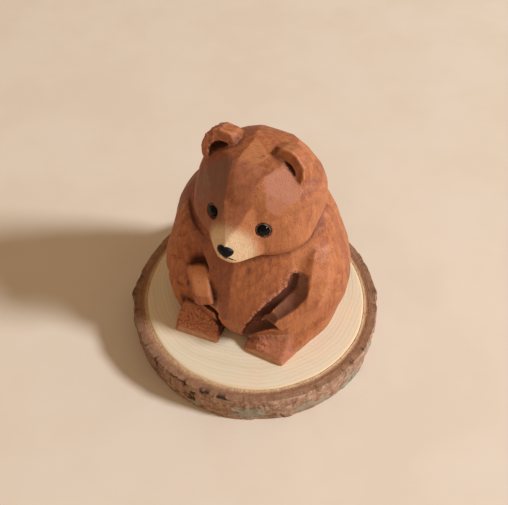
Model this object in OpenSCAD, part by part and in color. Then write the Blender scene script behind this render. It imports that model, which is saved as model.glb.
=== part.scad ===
// Seated bear carved from one block of wood, standing on a slice of branch.
// The frame's origin is the middle of the slice's underside. The bear faces -Y.

/* [Slice] */
// Outside diameter of the slice over its bark
slice_d = 90; // [84:1:110]
// Thickness of the slice
slice_t = 13.7; // [8:0.1:18]
// Mean thickness of the smooth inner bark
inner_bark_t = 1.9; // [1.2:0.1:3]
// Mean thickness of the rough outer bark
outer_bark_t = 2.5; // [2:0.1:4]
// Height of the lumps on the outer bark
bark_lump = 0.7; // [0:0.1:1]

/* [Body] */
// Widest part of the belly, side to side
belly_w = 62; // [54:1:68]
// Depth of the belly, front to back
belly_d = 53; // [46:1:58]
// Height of the widest part of the belly
belly_z = 19; // [15:1:24]
// Width across the shoulders
shoulder_w = 56; // [48:1:60]
// Height of the shoulders' middle
shoulder_z = 42; // [38:1:46]
// Flat cuts round a full turn of the carving
knife_cuts = 22; // [16:2:32]

/* [Head] */
// Width of the head
head_w = 40.4; // [36:0.2:44]
// Height of the head's middle above the slice
head_z = 57; // [54:0.5:60]
// Turn of the head towards the bear's right, in degrees
head_turn = 3; // [0:1:12]
// Reach of the muzzle in front of the head's middle
muzzle_l = 22.5; // [20:0.5:24]
// Diameter of an ear
ear_d = 12.8; // [10:0.2:14]
// Thickness of an ear, front to back
ear_t = 6; // [4:0.2:7]
// Outward lean of the ears, in degrees
ear_lean = 20; // [10:1:30]

/* [Limbs] */
// Width of a foot
foot_w = 16; // [13:1:17]
// Height of a foot
foot_h = 10; // [8:1:12]
// Distance between the middles of the feet
foot_gap = 26; // [25:1:29]
// Radius of an arm at the shoulder
arm_r = 8.5; // [7:0.1:9.5]
// Radius of a paw
paw_r = 5; // [4:0.1:5.4]
// Radius of the groove cut between arm and belly
groove_r = 1.8; // [1:0.1:2.4]

/* [Eyes, nose and mouth] */
// Diameter of an eye bead
eye_d = 4.1; // [3:0.1:5]
// Diameter of the stem behind a bead
stem_d = 1.4; // [1:0.1:2]
// Length of the stem behind a bead
stem_l = 5; // [3:0.5:7]
// Width of the ring of clear cement round a bead
cement_w = 0.45; // [0.3:0.05:0.7]
// Width of the nose
nose_w = 4; // [3:0.1:5]

/* [Hidden] */

wood_red = "#b5683f";
glue_grey = "#8f8580";
fit_gap = 0.08;
rim_points = 96;
bark_levels = 5;
bear_x = 1.2;

belly_mid = [0, 3.5, belly_z];
shoulder_mid = [-1.2, 5, shoulder_z];
hip_at = [20, -7, 9];
ankle_at = [15.5, -17, 5];
arm_at = [19.5, -6, 36];
elbow_at = [20.5, -13, 26];
paw_at = [13.5, -19, 20];
head_mid = [0.6, -2.5, head_z];
cheek_mid = [0, -3, -4.5];
tip_mid = [0, 5.5 - muzzle_l, -5.4];
tip_radii = [6.5, 5.5, 5.2];
right_ear_mid = [-12, 1.2, 13.6];
left_ear_mid = [10.4, 1.8, 14.2];
toe_y = -17;
right_foot_step = -1.6;
left_arm_sunk = 2.6;
eye_out = [8.5, -13.5, 1.7];
eye_sunk = 0.9;

slice_r = slice_d / 2 - bark_lump;
wood_r = slice_r - outer_bark_t - inner_bark_t;

function wave(a) = 0.005 * cos(2 * a - 20) + 0.004 * cos(3 * a + 40) + 0.002 * cos(5 * a);
function lump(a) = (sin(7 * a + 30) + sin(11 * a - 60) + sin(23 * a)) / 3;
function ring_point(r, a) = r * (1 + wave(a)) * [cos(a), sin(a)];
function rim(r) = [for (i = [0 : rim_points - 1]) ring_point(r, 360 * i / rim_points)];

// A point on the bark's outside: it bulges between the cut faces and is lumpy.
function bulge(k) = 0.5 * sin(180 * k / (bark_levels - 1));
function bark_point(i, k) =
    let (a = 360 * i / rim_points)
    ring_point(slice_r + bark_lump * (bulge(k) + 0.5 * lump(a + 4 * k)), a);
function bark_z(k) = slice_t * k / (bark_levels - 1);
bark_points = [
    for (k = [0 : bark_levels - 1], i = [0 : rim_points - 1])
        concat(bark_point(i, k), bark_z(k))
];
bark_x = [for (p = bark_points) p[0]];
bark_y = [for (p = bark_points) p[1]];
slice_mid = [(min(bark_x) + max(bark_x)) / 2, (min(bark_y) + max(bark_y)) / 2, 0];

// An ellipsoid whose flats are the cuts that a knife leaves.
module cut_ball(mid, radii, cuts = knife_cuts) {
    translate(mid) scale(1.01 * radii) sphere(1, $fn = cuts);
}

// A tapered limb between two balls.
module limb(from, from_r, to, to_r) {
    hull() {
        cut_ball(from, from_r * [1, 1, 1], 18);
        cut_ball(to, to_r * [1, 1, 1], 18);
    }
}

module on_slice() {
    translate([bear_x, 0, slice_t]) children();
}

module head_place() {
    on_slice() translate(head_mid) rotate([0, 0, -head_turn]) children();
}

module torso() {
    hull() {
        cut_ball(belly_mid, [belly_w / 2, belly_d / 2, 29]);
        cut_ball(belly_mid + [0, -9, -10], [15, 16.5, 15]);
    }
    hull() {
        cut_ball(belly_mid + [0, 0, 2], [belly_w / 2 - 0.5, belly_d / 2 - 0.5, 27]);
        cut_ball(shoulder_mid, [shoulder_w / 2 - 2, 18, 19]);
    }
}

// A half-round ear standing on a thick root, hollowed from the front.
module ear(mid, side) {
    translate(mid)
        rotate([0, side * ear_lean, 0])
            difference() {
                hull() {
                    rotate([90, 0, 0]) cylinder(h = ear_t, d = ear_d, center = true, $fn = 28);
                    cut_ball([-side * 2, 4, -4], [6, 6, 6], 16);
                }
                translate([0, -ear_t / 2, -0.4]) scale([3.7, 3.4, 3.7]) sphere(1, $fn = 28);
            }
}

module head() {
    hull() {
        cut_ball([0, 3, 2], [head_w / 2, 17, 17]);
        cut_ball(cheek_mid, [head_w / 2 - 0.7, 14, 10.5]);
    }
    hull() {
        cut_ball([0, 3, 2], [14, 16.8, 16.5]);
        cut_ball(cheek_mid, [16, 13, 9]);
        cut_ball(tip_mid, tip_radii, 18);
    }
    ear(right_ear_mid, -1);
    ear(left_ear_mid, 1);
}

module leg(side, step) {
    scale([side, 1, 1]) limb(hip_at, 10, ankle_at, 7.5);
    translate([side * foot_gap / 2, toe_y + step, foot_h / 2])
        hull()
            for (x = [-1, 1], y = [-1, 1], z = [-1, 1])
                translate([x * (foot_w / 2 - 2), y * 6.5, z * (foot_h / 2 - 2)])
                    sphere(2, $fn = 12);
}

module arm(side, sunk) {
    translate([0, sunk, 0]) scale([side, 1, 1]) {
        limb(arm_at, arm_r, elbow_at, 6.5);
        limb(elbow_at, 6.5, paw_at, paw_r);
    }
}

// The knife's groove along the inner edge of an arm.
module grooves() {
    limb([18.4, -12.6, 37], groove_r, [11, -21, 24.5], groove_r);
    limb([-14, -15.6, 36], groove_r, [-8, -21.6, 23], groove_r);
}

// Places its children on an eye, with +Z along the eye's own axis.
module eye_place(side) {
    head_place()
        translate([side * eye_out[0], eye_out[1], eye_out[2]])
            rotate([74, 0, side * 26])
                children();
}

module eye_bead() {
    translate([0, 0, -eye_sunk]) sphere(d = eye_d, $fn = 48);
    translate([0, 0, -eye_sunk - eye_d / 2 - stem_l])
        cylinder(h = stem_l + eye_d / 2, d = stem_d, $fn = 32);
}

module eye_seat() {
    translate([0, 0, -eye_sunk]) sphere(d = eye_d + 2 * fit_gap, $fn = 48);
    translate([0, 0, -eye_sunk - eye_d / 2 - stem_l - 0.3])
        cylinder(h = stem_l + eye_d / 2, d = stem_d + 2 * fit_gap, $fn = 32);
    translate([0, 0, -0.35])
        cylinder(h = 3, d = eye_d + 2 * cement_w, $fn = 48);
}

module eye_cement() {
    difference() {
        translate([0, 0, -0.35]) cylinder(h = 0.5, d = eye_d + 2 * cement_w, $fn = 48);
        translate([0, 0, -eye_sunk]) sphere(d = eye_d, $fn = 48);
    }
}

module nose_shape() {
    head_place()
        hull() {
            for (side = [-1, 1])
                translate([side * (nose_w / 2 - 0.4), -muzzle_l + 1, -3.1])
                    sphere(0.7, $fn = 16);
            translate([0, -muzzle_l + 0.2, -5]) sphere(0.6, $fn = 16);
        }
}

module mouth_shape() {
    head_place() {
        hull() {
            translate([0, -muzzle_l + 0.1, -5.95]) sphere(0.3, $fn = 10);
            translate([0, -muzzle_l + 0.15, -6.5]) sphere(0.3, $fn = 10);
        }
        for (side = [-1, 1])
            hull() {
                translate([0, -muzzle_l + 0.15, -6.5]) sphere(0.3, $fn = 10);
                translate([side * 2.2, -muzzle_l + 0.75, -7.2]) sphere(0.3, $fn = 10);
            }
    }
}

module bear_carving() {
    color(wood_red)
        difference() {
            intersection() {
                union() {
                    on_slice() {
                        torso();
                        leg(-1, right_foot_step);
                        leg(1, 0);
                        arm(-1, 0.5);
                        arm(1, left_arm_sunk);
                    }
                    head_place() head();
                }
                translate([-slice_d, -slice_d, slice_t]) cube([2, 2, 1.2] * slice_d);
            }
            on_slice() grooves();
            for (side = [-1, 1])
                eye_place(side) eye_seat();
            nose_shape();
            mouth_shape();
        }
}

module left_eye() {
    color("black") eye_place(1) eye_bead();
}

module right_eye() {
    color("black") eye_place(-1) eye_bead();
}

module left_eye_cement() {
    color(glue_grey) eye_place(1) eye_cement();
}

module right_eye_cement() {
    color(glue_grey) eye_place(-1) eye_cement();
}

module nose() {
    color("#15100e") nose_shape();
}

module mouth() {
    color("#15100e") mouth_shape();
}

module slice_wood() {
    color("#ddc8a2")
        translate(-slice_mid) linear_extrude(slice_t) polygon(rim(wood_r));
}

module slice_inner_bark() {
    color("#b08450")
        translate(-slice_mid)
            linear_extrude(slice_t)
                difference() {
                    polygon(rim(wood_r + inner_bark_t));
                    polygon(rim(wood_r));
                }
}

module slice_outer_bark() {
    n = rim_points;
    inner = rim(wood_r + inner_bark_t);
    points = concat(
        bark_points,
        [for (k = [0, 1], i = [0 : n - 1]) concat(inner[i], k * slice_t)]
    );
    top = (bark_levels - 1) * n;
    in_low = bark_levels * n;
    in_high = in_low + n;
    function next(i) = (i + 1) % n;
    skin_faces = [for (k = [0 : bark_levels - 2], i = [0 : n - 1])
        each [
            [k * n + i, (k + 1) * n + i, (k + 1) * n + next(i)],
            [k * n + i, (k + 1) * n + next(i), k * n + next(i)]
        ]];
    cut_faces = [for (i = [0 : n - 1])
        each [
            [top + i, in_high + i, in_high + next(i), top + next(i)],
            [in_high + i, in_low + i, in_low + next(i), in_high + next(i)],
            [in_low + i, i, next(i), in_low + next(i)]
        ]];
    color("#6b4a35")
        translate(-slice_mid) polyhedron(points, concat(skin_faces, cut_faces));
}

bear_carving();
left_eye();
right_eye();
left_eye_cement();
right_eye_cement();
nose();
mouth();
slice_wood();
slice_inner_bark();
slice_outer_bark();
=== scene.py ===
"""Carved bear on a slice of branch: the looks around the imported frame.

The carving is sculpted as a distance field made of knife cuts: each mass is a
convex block cut by many planes, the masses are joined, and grooves and hollows
are taken out. The field is then meshed. Sizes in this file are millimetres
until a mesh is made.
"""
import math
from itertools import product

import bpy
import numpy as np
from mathutils import Matrix, Vector


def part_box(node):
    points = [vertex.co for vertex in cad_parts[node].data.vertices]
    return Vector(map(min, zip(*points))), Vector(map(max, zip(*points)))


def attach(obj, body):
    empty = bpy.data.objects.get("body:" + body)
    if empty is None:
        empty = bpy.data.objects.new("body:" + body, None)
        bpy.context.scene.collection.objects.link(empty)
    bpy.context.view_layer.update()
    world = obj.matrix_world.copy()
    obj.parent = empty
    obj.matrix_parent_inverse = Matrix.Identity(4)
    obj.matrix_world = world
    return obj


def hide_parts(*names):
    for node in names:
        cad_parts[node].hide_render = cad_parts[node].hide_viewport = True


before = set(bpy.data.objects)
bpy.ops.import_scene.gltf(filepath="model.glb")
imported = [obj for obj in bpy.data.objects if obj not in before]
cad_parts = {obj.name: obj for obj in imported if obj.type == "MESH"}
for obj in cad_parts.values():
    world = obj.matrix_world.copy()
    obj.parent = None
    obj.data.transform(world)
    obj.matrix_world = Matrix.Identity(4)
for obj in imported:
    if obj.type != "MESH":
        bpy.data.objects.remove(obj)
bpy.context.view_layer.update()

MM = 0.001
SLICE_TOP = float(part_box("slice_wood")[1][2]) / MM
BEAR_AT = np.array([1.2, 0.0, SLICE_TOP])


# ---- noise

def lattice(ix, iy, iz, seed):
    """A repeatable random number in 0..1 for each lattice point."""
    h = (ix.astype(np.uint32) * np.uint32(374761393)
         + iy.astype(np.uint32) * np.uint32(668265263)
         + iz.astype(np.uint32) * np.uint32(2246822519)
         + np.uint32(seed * 7919 + 13))
    h = (h ^ (h >> np.uint32(13))) * np.uint32(1274126177)
    h = h ^ (h >> np.uint32(16))
    return h.astype(np.float64) / 4294967296.0


def noise(p, size, seed=0):
    """Smooth value noise in -1..1 with features about `size` mm across."""
    q = p / np.asarray(size, float)
    base = np.floor(q).astype(np.int64)
    f = q - base
    f = f * f * (3 - 2 * f)
    out = np.zeros(len(p))
    for corner in product((0, 1), repeat=3):
        weight = np.where(corner, f, 1 - f).prod(axis=1)
        out += weight * lattice(*(base + corner).T, seed)
    return out * 2 - 1


def layered(p, size, octaves, seed=0):
    """Noise at several sizes, each half as large and half as strong as the one before."""
    total = np.zeros(len(p))
    gain = 1.0
    size = np.asarray(size, float)
    for k in range(octaves):
        total += gain * noise(p + 17.3 * k, size / 2 ** k, seed + k)
        gain *= 0.5
    return total / (2 - 2 * gain)


def three(kind, p, size, seed, *more):
    """Three noises side by side, to push points about with."""
    return np.stack([kind(p, size, *more, seed + k) for k in range(3)], 1)


def ramp(x, low, high):
    """Eases from 0 at `low` to 1 at `high`."""
    t = np.clip((x - low) / (high - low), 0, 1)
    return t * t * (3 - 2 * t)


# ---- blocks cut by planes

# the look of a lighter pink cut facing the lamp, partly the wood's own pink, partly painted sheen:
# its tone, pink and grey marks
PINK_SHEEN = (0.8, 1, 0)


def unit(v):
    v = np.asarray(v, float)
    return v / np.linalg.norm(v, axis=-1, keepdims=True)


def turned(yaw=0.0, roll=0.0, pitch=0.0):
    """Columns are the turned axes: roll about y, then pitch about x, then yaw about z."""
    y, r, p = np.radians([yaw, roll, pitch])
    about_z = np.array([[np.cos(y), -np.sin(y), 0], [np.sin(y), np.cos(y), 0], [0, 0, 1]])
    about_x = np.array([[1, 0, 0], [0, np.cos(p), -np.sin(p)], [0, np.sin(p), np.cos(p)]])
    about_y = np.array([[np.cos(r), 0, np.sin(r)], [0, 1, 0], [-np.sin(r), 0, np.cos(r)]])
    return about_z @ about_x @ about_y


def strips(pole, first, columns, seed, wander=0.2, breaks=(), fine=7.0, middle=None):
    """Long knife cuts from pole to pole, each flat across its width.

    The first cut is centred on the direction `first`. Past each break (a tilt in degrees)
    the cuts start again, half a width to the side. `middle` is the turn in degrees from the
    first cut to its neighbours, where it is wider than the others. Gives the planes'
    directions, and the number of each plane's cut.
    """
    rng = np.random.default_rng(seed)
    pole = unit(pole)
    side = unit(np.asarray(first, float) - np.dot(first, pole) * pole)
    other = np.cross(pole, side)
    gap = 2 * np.pi / columns if middle is None else math.radians(middle)
    step = (2 * np.pi - 2 * gap) / (columns - 2)
    shift = rng.uniform(-wander, wander, (len(breaks) + 1, columns)) * step
    shift[0, 0] = 0
    ends = rng.uniform(-6, 6, (len(breaks) + 1, columns))
    directions, numbers = [], []
    for tilt in np.arange(-87, 88, fine):
        b = math.radians(tilt)
        for c in range(columns):
            row = sum(tilt > stop + ends[k, c] for k, stop in enumerate(breaks))
            a = (gap + step * (c - 1) if c else 0) + 0.5 * step * (row % 2) + shift[row, c]
            directions.append(math.cos(b) * (math.cos(a) * side + math.sin(a) * other)
                              + math.sin(b) * pole)
            numbers.append(row * columns + c)
    return unit(np.array(directions)), np.array(numbers)


def reach(balls, n):
    """How far a hull of balls and upright discs reaches along each direction."""
    best = np.full(len(n), -1e9)
    for kind, mid, size in balls:
        if kind == "ball":
            extent = np.linalg.norm(n * np.asarray(size, float), axis=1)
        else:
            extent = size[0] * np.hypot(n[:, 0], n[:, 2]) + size[1] * np.abs(n[:, 1])
        best = np.maximum(best, n @ np.asarray(mid, float) + extent)
    return best


class Block:
    """A convex mass cut by planes, with slightly softened arrises.

    n and h are the planes' directions and offsets, tone holds each one's marks.
    """

    def __init__(self, n, h, tone, soft):
        self.n = n
        self.h = h
        self.tone = tone
        self.soft = soft

    def near(self, mid, radius):
        """The planes that can matter in a sphere, with the block's least distance there."""
        d = self.n @ mid - self.h
        first = int(np.argmax(d))
        top = d[first]
        turn = np.linalg.norm(self.n - self.n[first], axis=1)
        keep = d > top - turn * radius - self.soft - 0.05
        return self.n[keep], self.h[keep], top - radius, self.tone[keep]

    def dist(self, p, planes):
        """Distance to the block, from the planes that `near` gave."""
        d = p @ planes[0].T - planes[1]
        top = d.max(axis=1)
        d -= top[:, None] - self.soft
        np.maximum(d, 0, out=d)
        d *= d
        s = d.sum(axis=1) / self.soft ** 2
        return top + 0.25 * self.soft * np.minimum(s - 1, 2.0)

    def tone_at(self, p, planes):
        """The look of the cut under each point."""
        d = p @ planes[0].T - planes[1]
        d -= d.max(axis=1)[:, None]
        w = np.exp(np.maximum(d, -0.5) * 80)
        return (w @ planes[3]) / w.sum(axis=1, keepdims=True)


def hull_block(balls, cuts, place=None, depth=0.12, special=(), soft=0.5, seed=1, looks=()):
    """A block cut from the hull of some balls.

    Each cut goes up to `depth` into the hull. `special` adds single planes: a direction,
    how deep it cuts, and its look. `looks` sets the tone of numbered cuts.
    """
    rng = np.random.default_rng(seed)
    directions, numbers = cuts
    strips_used = int(numbers.max()) + 1
    n = [directions]
    h = [reach(balls, directions) - rng.uniform(0, depth, strips_used)[numbers]]
    strip_tone = rng.uniform(0.25, 0.75, strips_used)
    for number, tone in looks:
        strip_tone[number] = tone
    tones = [np.column_stack([strip_tone[numbers], np.zeros((len(numbers), 2))])]
    for direction, cut, *look in special:
        d = unit([direction])
        n.append(d)
        h.append(reach(balls, d) - cut)
        tones.append(np.array([[*(look or [rng.uniform()]), 0, 0][:3]], float))
    n, h = np.concatenate(n), np.concatenate(h)
    if place is not None:
        turn, at = place
        n = n @ turn.T
        h = h + n @ at
    return Block(n, h, np.concatenate(tones), soft)


def plane_block(planes, seed, soft=0.5, tones=()):
    """A wedge: each plane is a point on it and its outward direction."""
    rng = np.random.default_rng(seed)
    n = unit([direction for _, direction in planes])
    h = np.array([np.dot(point, direction) for (point, _), direction in zip(planes, n)])
    tone = np.column_stack([rng.uniform(0.2, 0.8, len(planes)), np.zeros((len(planes), 2))])
    tone[:len(tones), 0] = tones
    return Block(n, h, tone, soft)


def smooth_min(a, b, k):
    h = np.clip(0.5 + 0.5 * (b - a) / k, 0, 1)
    return b * (1 - h) + a * h - k * h * (1 - h)


def smooth_max(a, b, k):
    return -smooth_min(-a, -b, k)


def pod(p, mid, size, turn):
    """Distance to an ellipsoid whose axes are the columns of `turn`."""
    q = (p - mid) @ turn
    size = np.asarray(size, float)
    k0 = np.linalg.norm(q / size, axis=1)
    k1 = np.linalg.norm(q / size ** 2, axis=1)
    return k0 * (k0 - 1) / np.maximum(k1, 1e-9)


def rod(p, a, b, ra, rb):
    """Distance to a tapered rod with round ends."""
    a, b = np.asarray(a, float), np.asarray(b, float)
    ab = b - a
    t = np.clip(((p - a) @ ab) / (ab @ ab), 0, 1)
    return np.linalg.norm(p - a - t[:, None] * ab, axis=1) - (ra + (rb - ra) * t)


def path_rod(p, points, radii):
    """Distance to a chain of tapered rods."""
    return np.minimum.reduce([rod(p, points[k], points[k + 1], radii[k], radii[k + 1])
                              for k in range(len(points) - 1)])


# ---- the carving's masses

HEAD_AT = np.array([0.6, -2.5, 57.0])
HEAD_TURN = turned(yaw=-3)
HEAD = (HEAD_TURN, HEAD_AT)
EYES = {side: HEAD_AT + HEAD_TURN @ np.array([side * 8.25 + 0.25, -13.5, 1.7])
        for side in (-1, 1)}


def eye_axis(side):
    """The way an eye looks: 17 degrees outward and 16 up."""
    a, e = math.radians(17), math.radians(16)
    v = np.array([side * math.sin(a) * math.cos(e), -math.cos(a) * math.cos(e), math.sin(e)])
    return HEAD_TURN @ v


torso = hull_block(
    [("ball", (0, 3.5, 18.5), (31.5, 26.8, 29)),
     ("ball", (0, -5.6, 9.5), (15.2, 16.8, 15)),
     ("ball", (-1.2, 5, 41), (26.4, 18.5, 19.6)),
     ("ball", (-14.6, 0, 38), (14.2, 13, 16))],
    strips((0, 0, 1), (0.0, -1, 0), 32, 3, wander=0.3, breaks=(-8, 52)),
    depth=0.5, soft=0.07, seed=4,
    # cuts 56 to 59, on the flank away from the lamp, are dark: painted shade
    looks=[(32, 0.65), (33, 0.4), (34, 0.6), (63, 0.1), (62, 0.25), (61, 0.5), (0, 0.7),
           (1, 0.8), (31, 0.6), (56, 0.05), (57, 0.2), (58, 0.05), (59, 0.15)])

crown = hull_block(
    [("ball", (0, 3, 2), (20.3, 17.1, 17.1)),
     ("ball", (0, -3, -4.5), (19.7, 14.1, 10.6))],
    strips((0, 1, 0), (0, 0, 1), 20, 7, wander=0.2, breaks=(-27, 34), middle=27),
    place=HEAD, depth=0.3, soft=0.07, seed=8,
    looks=[(0, 0.1), (1, 0.7), (19, 0.1), (2, 0.75), (18, 0.2), (20, 0.45), (21, 0.8),
           (39, 0.2), (22, 0.35), (38, 0.6), (40, 0.5), (41, 0.2), (59, 0.75)],
    # cuts facing the lamp on the right are light and pink, partly painted sheen; the two facing
    # left are dark, painted shade
    special=[((0.49, -0.57, 0.66), 0.85, *PINK_SHEEN), ((0.46, -0.71, 0.53), 0.6, 0.8, 0.75, 0),
             ((-0.53, -0.60, 0.60), 1.1, 0.1), ((-0.66, -0.64, 0.40), 0.9, 0.1),
             ((0.0, -0.27, 0.96), 0.5, 0.95), ((-0.24, -0.22, 0.95), 0.35, 0.3)])

face = hull_block(
    [("ball", (0, 3, 2), (14, 16.9, 16.6)),
     ("ball", (0, -3, -4.5), (16.2, 13.2, 9.2)),
     ("ball", (0, -17, -5.7), (6.3, 5.5, 5.2))],
    strips((0, 1, 0), (0, 0, 1), 16, 11, wander=0.12, middle=30),
    place=HEAD, depth=0.12, soft=0.07, seed=12, looks=[(0, 0.1), (1, 0.8), (15, 0.25), (2, 0.9)],
    special=[((-0.02, -0.76, 0.65), 1.0, 0.1),
             ((0.50, -0.76, 0.42), 1.2, 0.85), ((-0.52, -0.755, 0.4), 0.95, 0.35),
             ((0.64, -0.75, 0.10), 0.8, 0.7), ((-0.68, -0.74, 0.03), 0.9, 0.6)])


def ear_block(side, mid, radius):
    """An upright disc, its root, and where it stands. Side -1 is the bear's right."""
    place_turn = HEAD_TURN @ turned(yaw=-side * 6, roll=side * 20, pitch=-16)
    at = HEAD_AT + HEAD_TURN @ np.array(mid)
    block = hull_block(
        [("disc", (0, 0, 0), (radius, 2.9)), ("ball", (-side * 2, 4.5, -4), (5.5, 5, 5.5))],
        strips((0, 1, 0), (0, 0, 1), 13, 30 + side, wander=0.3, fine=14.5),
        place=(place_turn, at), depth=0.25, soft=0.1, seed=31 + side,
        # a cut on the ear's front that faces away from the lamp; on the bear's left ear its dark
        # look is painted shade
        special=[((-side * 0.84, -0.53, 0.12), 1.5, 0.3 - side * 0.25)])
    return block, place_turn, at


ears = [ear_block(-1, (-11.6, 1.2, 13.6), 6.6), ear_block(1, (8.9, 1.6, 14.2), 6.6)]


def limb_block(a, ra, b, rb, columns, seed, special=()):
    """An arm or thigh: a hull round two balls, cut along its length."""
    axis = unit(np.array(b, float) - np.array(a, float))
    return hull_block([("ball", a, (ra, ra, ra)), ("ball", b, (rb, rb, rb))],
                      strips(axis, (0, -1, 0.3), columns, seed, wander=0.3, fine=12.0),
                      depth=0.3, soft=0.08, seed=seed, special=special)


right_arm = [
    limb_block((-18.8, -5.0, 38), 8.4, (-20.8, -11.4, 22.5), 8.2, 9, 41),
    # the forearm's top cut, facing the lamp, is light and the cuts beside and under it darker:
    # painted light and shade
    plane_block([((-16.7, -19.9, 29.6), (-0.03, -0.757, 0.652)),
                 ((-17.2, -19.9, 29.5), (-0.76, -0.64, -0.06)),
                 ((-9.4, -18.5, 30.7), (0.92, 0.34, 0.19)),
                 ((-12.2, -24.8, 23.4), (0.16, -0.984, 0.0)),
                 ((-10.8, -24.6, 19.0), (0.40, -0.3, -0.87)),
                 ((-14.5, -18.6, 32.2), (-0.35, 0.35, 0.87)),
                 ((-22.4, -15, 26), (-0.95, 0.1, -0.2)), ((-12, -8, 25), (0, 1, 0))], 43, 1.3,
                tones=(1.0, 0.3, 0.35, 0.6, 0.1))]
left_arm = [
    limb_block((19.4, -2.4, 36), 8.2, (20.6, -8.4, 27), 7.6, 9, 45),
    limb_block((20.6, -8.6, 26.5), 7.4, (14.0, -18.2, 20.0), 5.3, 7, 47,
               # the paw's underside, facing down and away from the lamp, has a dark look: painted
               # shade
               special=[((-0.41, -0.82, -0.395), 2.8, 0.1), ((0.55, -0.8, 0.2), 0.5),
                        ((0.1, -0.3, -0.95), 0.8)])]

thighs = [
    limb_block((-20.4, -7, 10), 10.4, (-18.6, -12.4, 6), 7.4, 9, 51),
    limb_block((18.6, -4.4, 8), 10.4, (17.4, -12.4, 4.0), 6.8, 9, 53)]

feet = [
    plane_block([((-12, -25.7, 0), (0.06, -1, 0.02)), ((-4.9, -20, 0), (1, 0.04, 0.12)),
                 ((-21.0, -20, 0), (-1, 0.1, 0.10)), ((-11, -25.0, 3.0), (0.12, -0.78, 0.62)),
                 ((-14, -18, 11.6), (-0.1, -0.2, 0.97)), ((-5.7, -21.9, 6), (0.62, 0.2, 0.76)),
                 ((-12, -9, 5), (0, 1, 0)), ((-12, -20, -2), (0, 0, -1)),
                 ((-20.2, -25.6, 3), (-0.7, -0.7, 0.3))], 61, tones=(1.0, 0.3, 0.6, 0.8)),
    plane_block([((12, -24.2, 0), (-0.06, -1, 0.02)), ((4.8, -20, 0), (-1, 0.04, 0.12)),
                 ((9.4, -23, 4), (0.02, -0.70, 0.71)), ((9.4, -23, 4), (-0.35, -0.68, 0.64)),
                 ((12, -17.4, 10), (0, -0.1, 1)), ((19.6, -24.6, 0), (0.90, -0.34, 0.27)),
                 ((22.6, -17.5, 0), (0.95, -0.28, 0.12)),
                 ((18, -5, 5), (0, 1, 0)), ((12, -20, -2), (0, 0, -1))], 63,
                tones=(0.9, 0.5, 0.7, 0.6))]


MASSES = [torso, crown, face, ears[0][0], ears[1][0], *right_arm, *left_arm, *thighs, *feet]
CROWN, FACE, RIGHT_EAR, LEFT_EAR, RIGHT_PAW = 1, 2, 3, 4, 6
HEAD_MASSES = (CROWN, FACE, RIGHT_EAR, LEFT_EAR)
FEET_MASSES = (11, 12)
NEAR_ENOUGH = 6
GROOVES_BELOW = 60
HEAD_ABOVE = 30
EAR_HOLLOW = (4.1, 4.4, 4.1)
EYE_SEAT = 2.3


def with_block(p, d, block, k, mid, radius):
    """Adds a block to a distance, where it is near enough to matter."""
    planes = block.near(mid, radius)
    if planes[2] > NEAR_ENOUGH:
        return np.minimum(d, planes[2])
    return smooth_min(d, block.dist(p, planes), k)


def body_mass(p, mid, radius):
    """Distance to the body before its grooves are cut, without the right paw and the feet."""
    d = np.full(len(p), 60.0)
    d = with_block(p, d, torso, 0.1, mid, radius)
    for block, k in zip(thighs, (2.0, 4.0)):
        d = with_block(p, d, block, k, mid, radius)
    d = with_block(p, d, right_arm[0], 1.2, mid, radius)
    for block in left_arm:
        d = with_block(p, d, block, 1.6, mid, radius)
    return d


def carving(p, mid, radius):
    """Distance to the carving for points within a sphere, in the bear's own frame."""
    d = body_mass(p, mid, radius)
    if mid[2] + radius < GROOVES_BELOW:
        for points, radii, round_off in GROOVE_RODS:
            d = smooth_max(d, -path_rod(p, points, radii), round_off)
    d = with_block(p, d, right_arm[1], 0.25, mid, radius)
    for block, k in zip(feet, (0.5, 1.4)):
        d = with_block(p, d, block, k, mid, radius)
    for points, radii, round_off in UNDERCUTS:
        d = smooth_max(d, -path_rod(p, points, radii), round_off)
    if mid[2] + radius > HEAD_ABOVE:
        h = np.full(len(p), 60.0)
        h = with_block(p, h, crown, 0.1, mid, radius)
        h = with_block(p, h, face, 0.35, mid, radius)
        for (block, turn, at), side in zip(ears, (-1, 1)):
            planes = block.near(mid, radius)
            if planes[2] > NEAR_ENOUGH:
                continue
            hollow = pod(p, at + turn @ np.array([side * 0.3, -2.8, -1.0]), EAR_HOLLOW, turn)
            behind = -3.1 - (p - at) @ turn[:, 1]
            ear = smooth_max(block.dist(p, planes), -np.maximum(hollow, behind), 0.2)
            h = smooth_min(h, ear, 0.35)
        d = smooth_min(d, h, 0.7 + 4.3 * ramp(p[:, 1], 2.0, 12.0))
        for points, radii in COLLARS:
            d = smooth_max(d, -path_rod(p, points, radii), 0.4)
        for side in (-1, 1):
            q = p - EYES[side]
            along = q @ eye_axis(side)
            across = np.linalg.norm(q - along[:, None] * eye_axis(side), axis=1)
            d = smooth_max(d, -np.maximum(across - EYE_SEAT, -0.55 - along), 0.25)
    return smooth_max(d, -p[:, 2], 0.35)


def cut_marks(p, mid, radius):
    """For each point: the tone, the pink sheen and the grey of its knife cut, and its mass's
    number.
    """
    best = np.full(len(p), 50.0)
    out = np.zeros((len(p), 4))
    out[:, 0] = 0.5
    for k, block in enumerate(MASSES):
        planes = block.near(mid, radius)
        if planes[2] > 5:
            continue
        d = block.dist(p, planes)
        closer = d < best
        best[closer] = d[closer]
        out[closer, :3] = block.tone_at(p[closer], planes)
        out[closer, 3] = k
    return out


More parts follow.
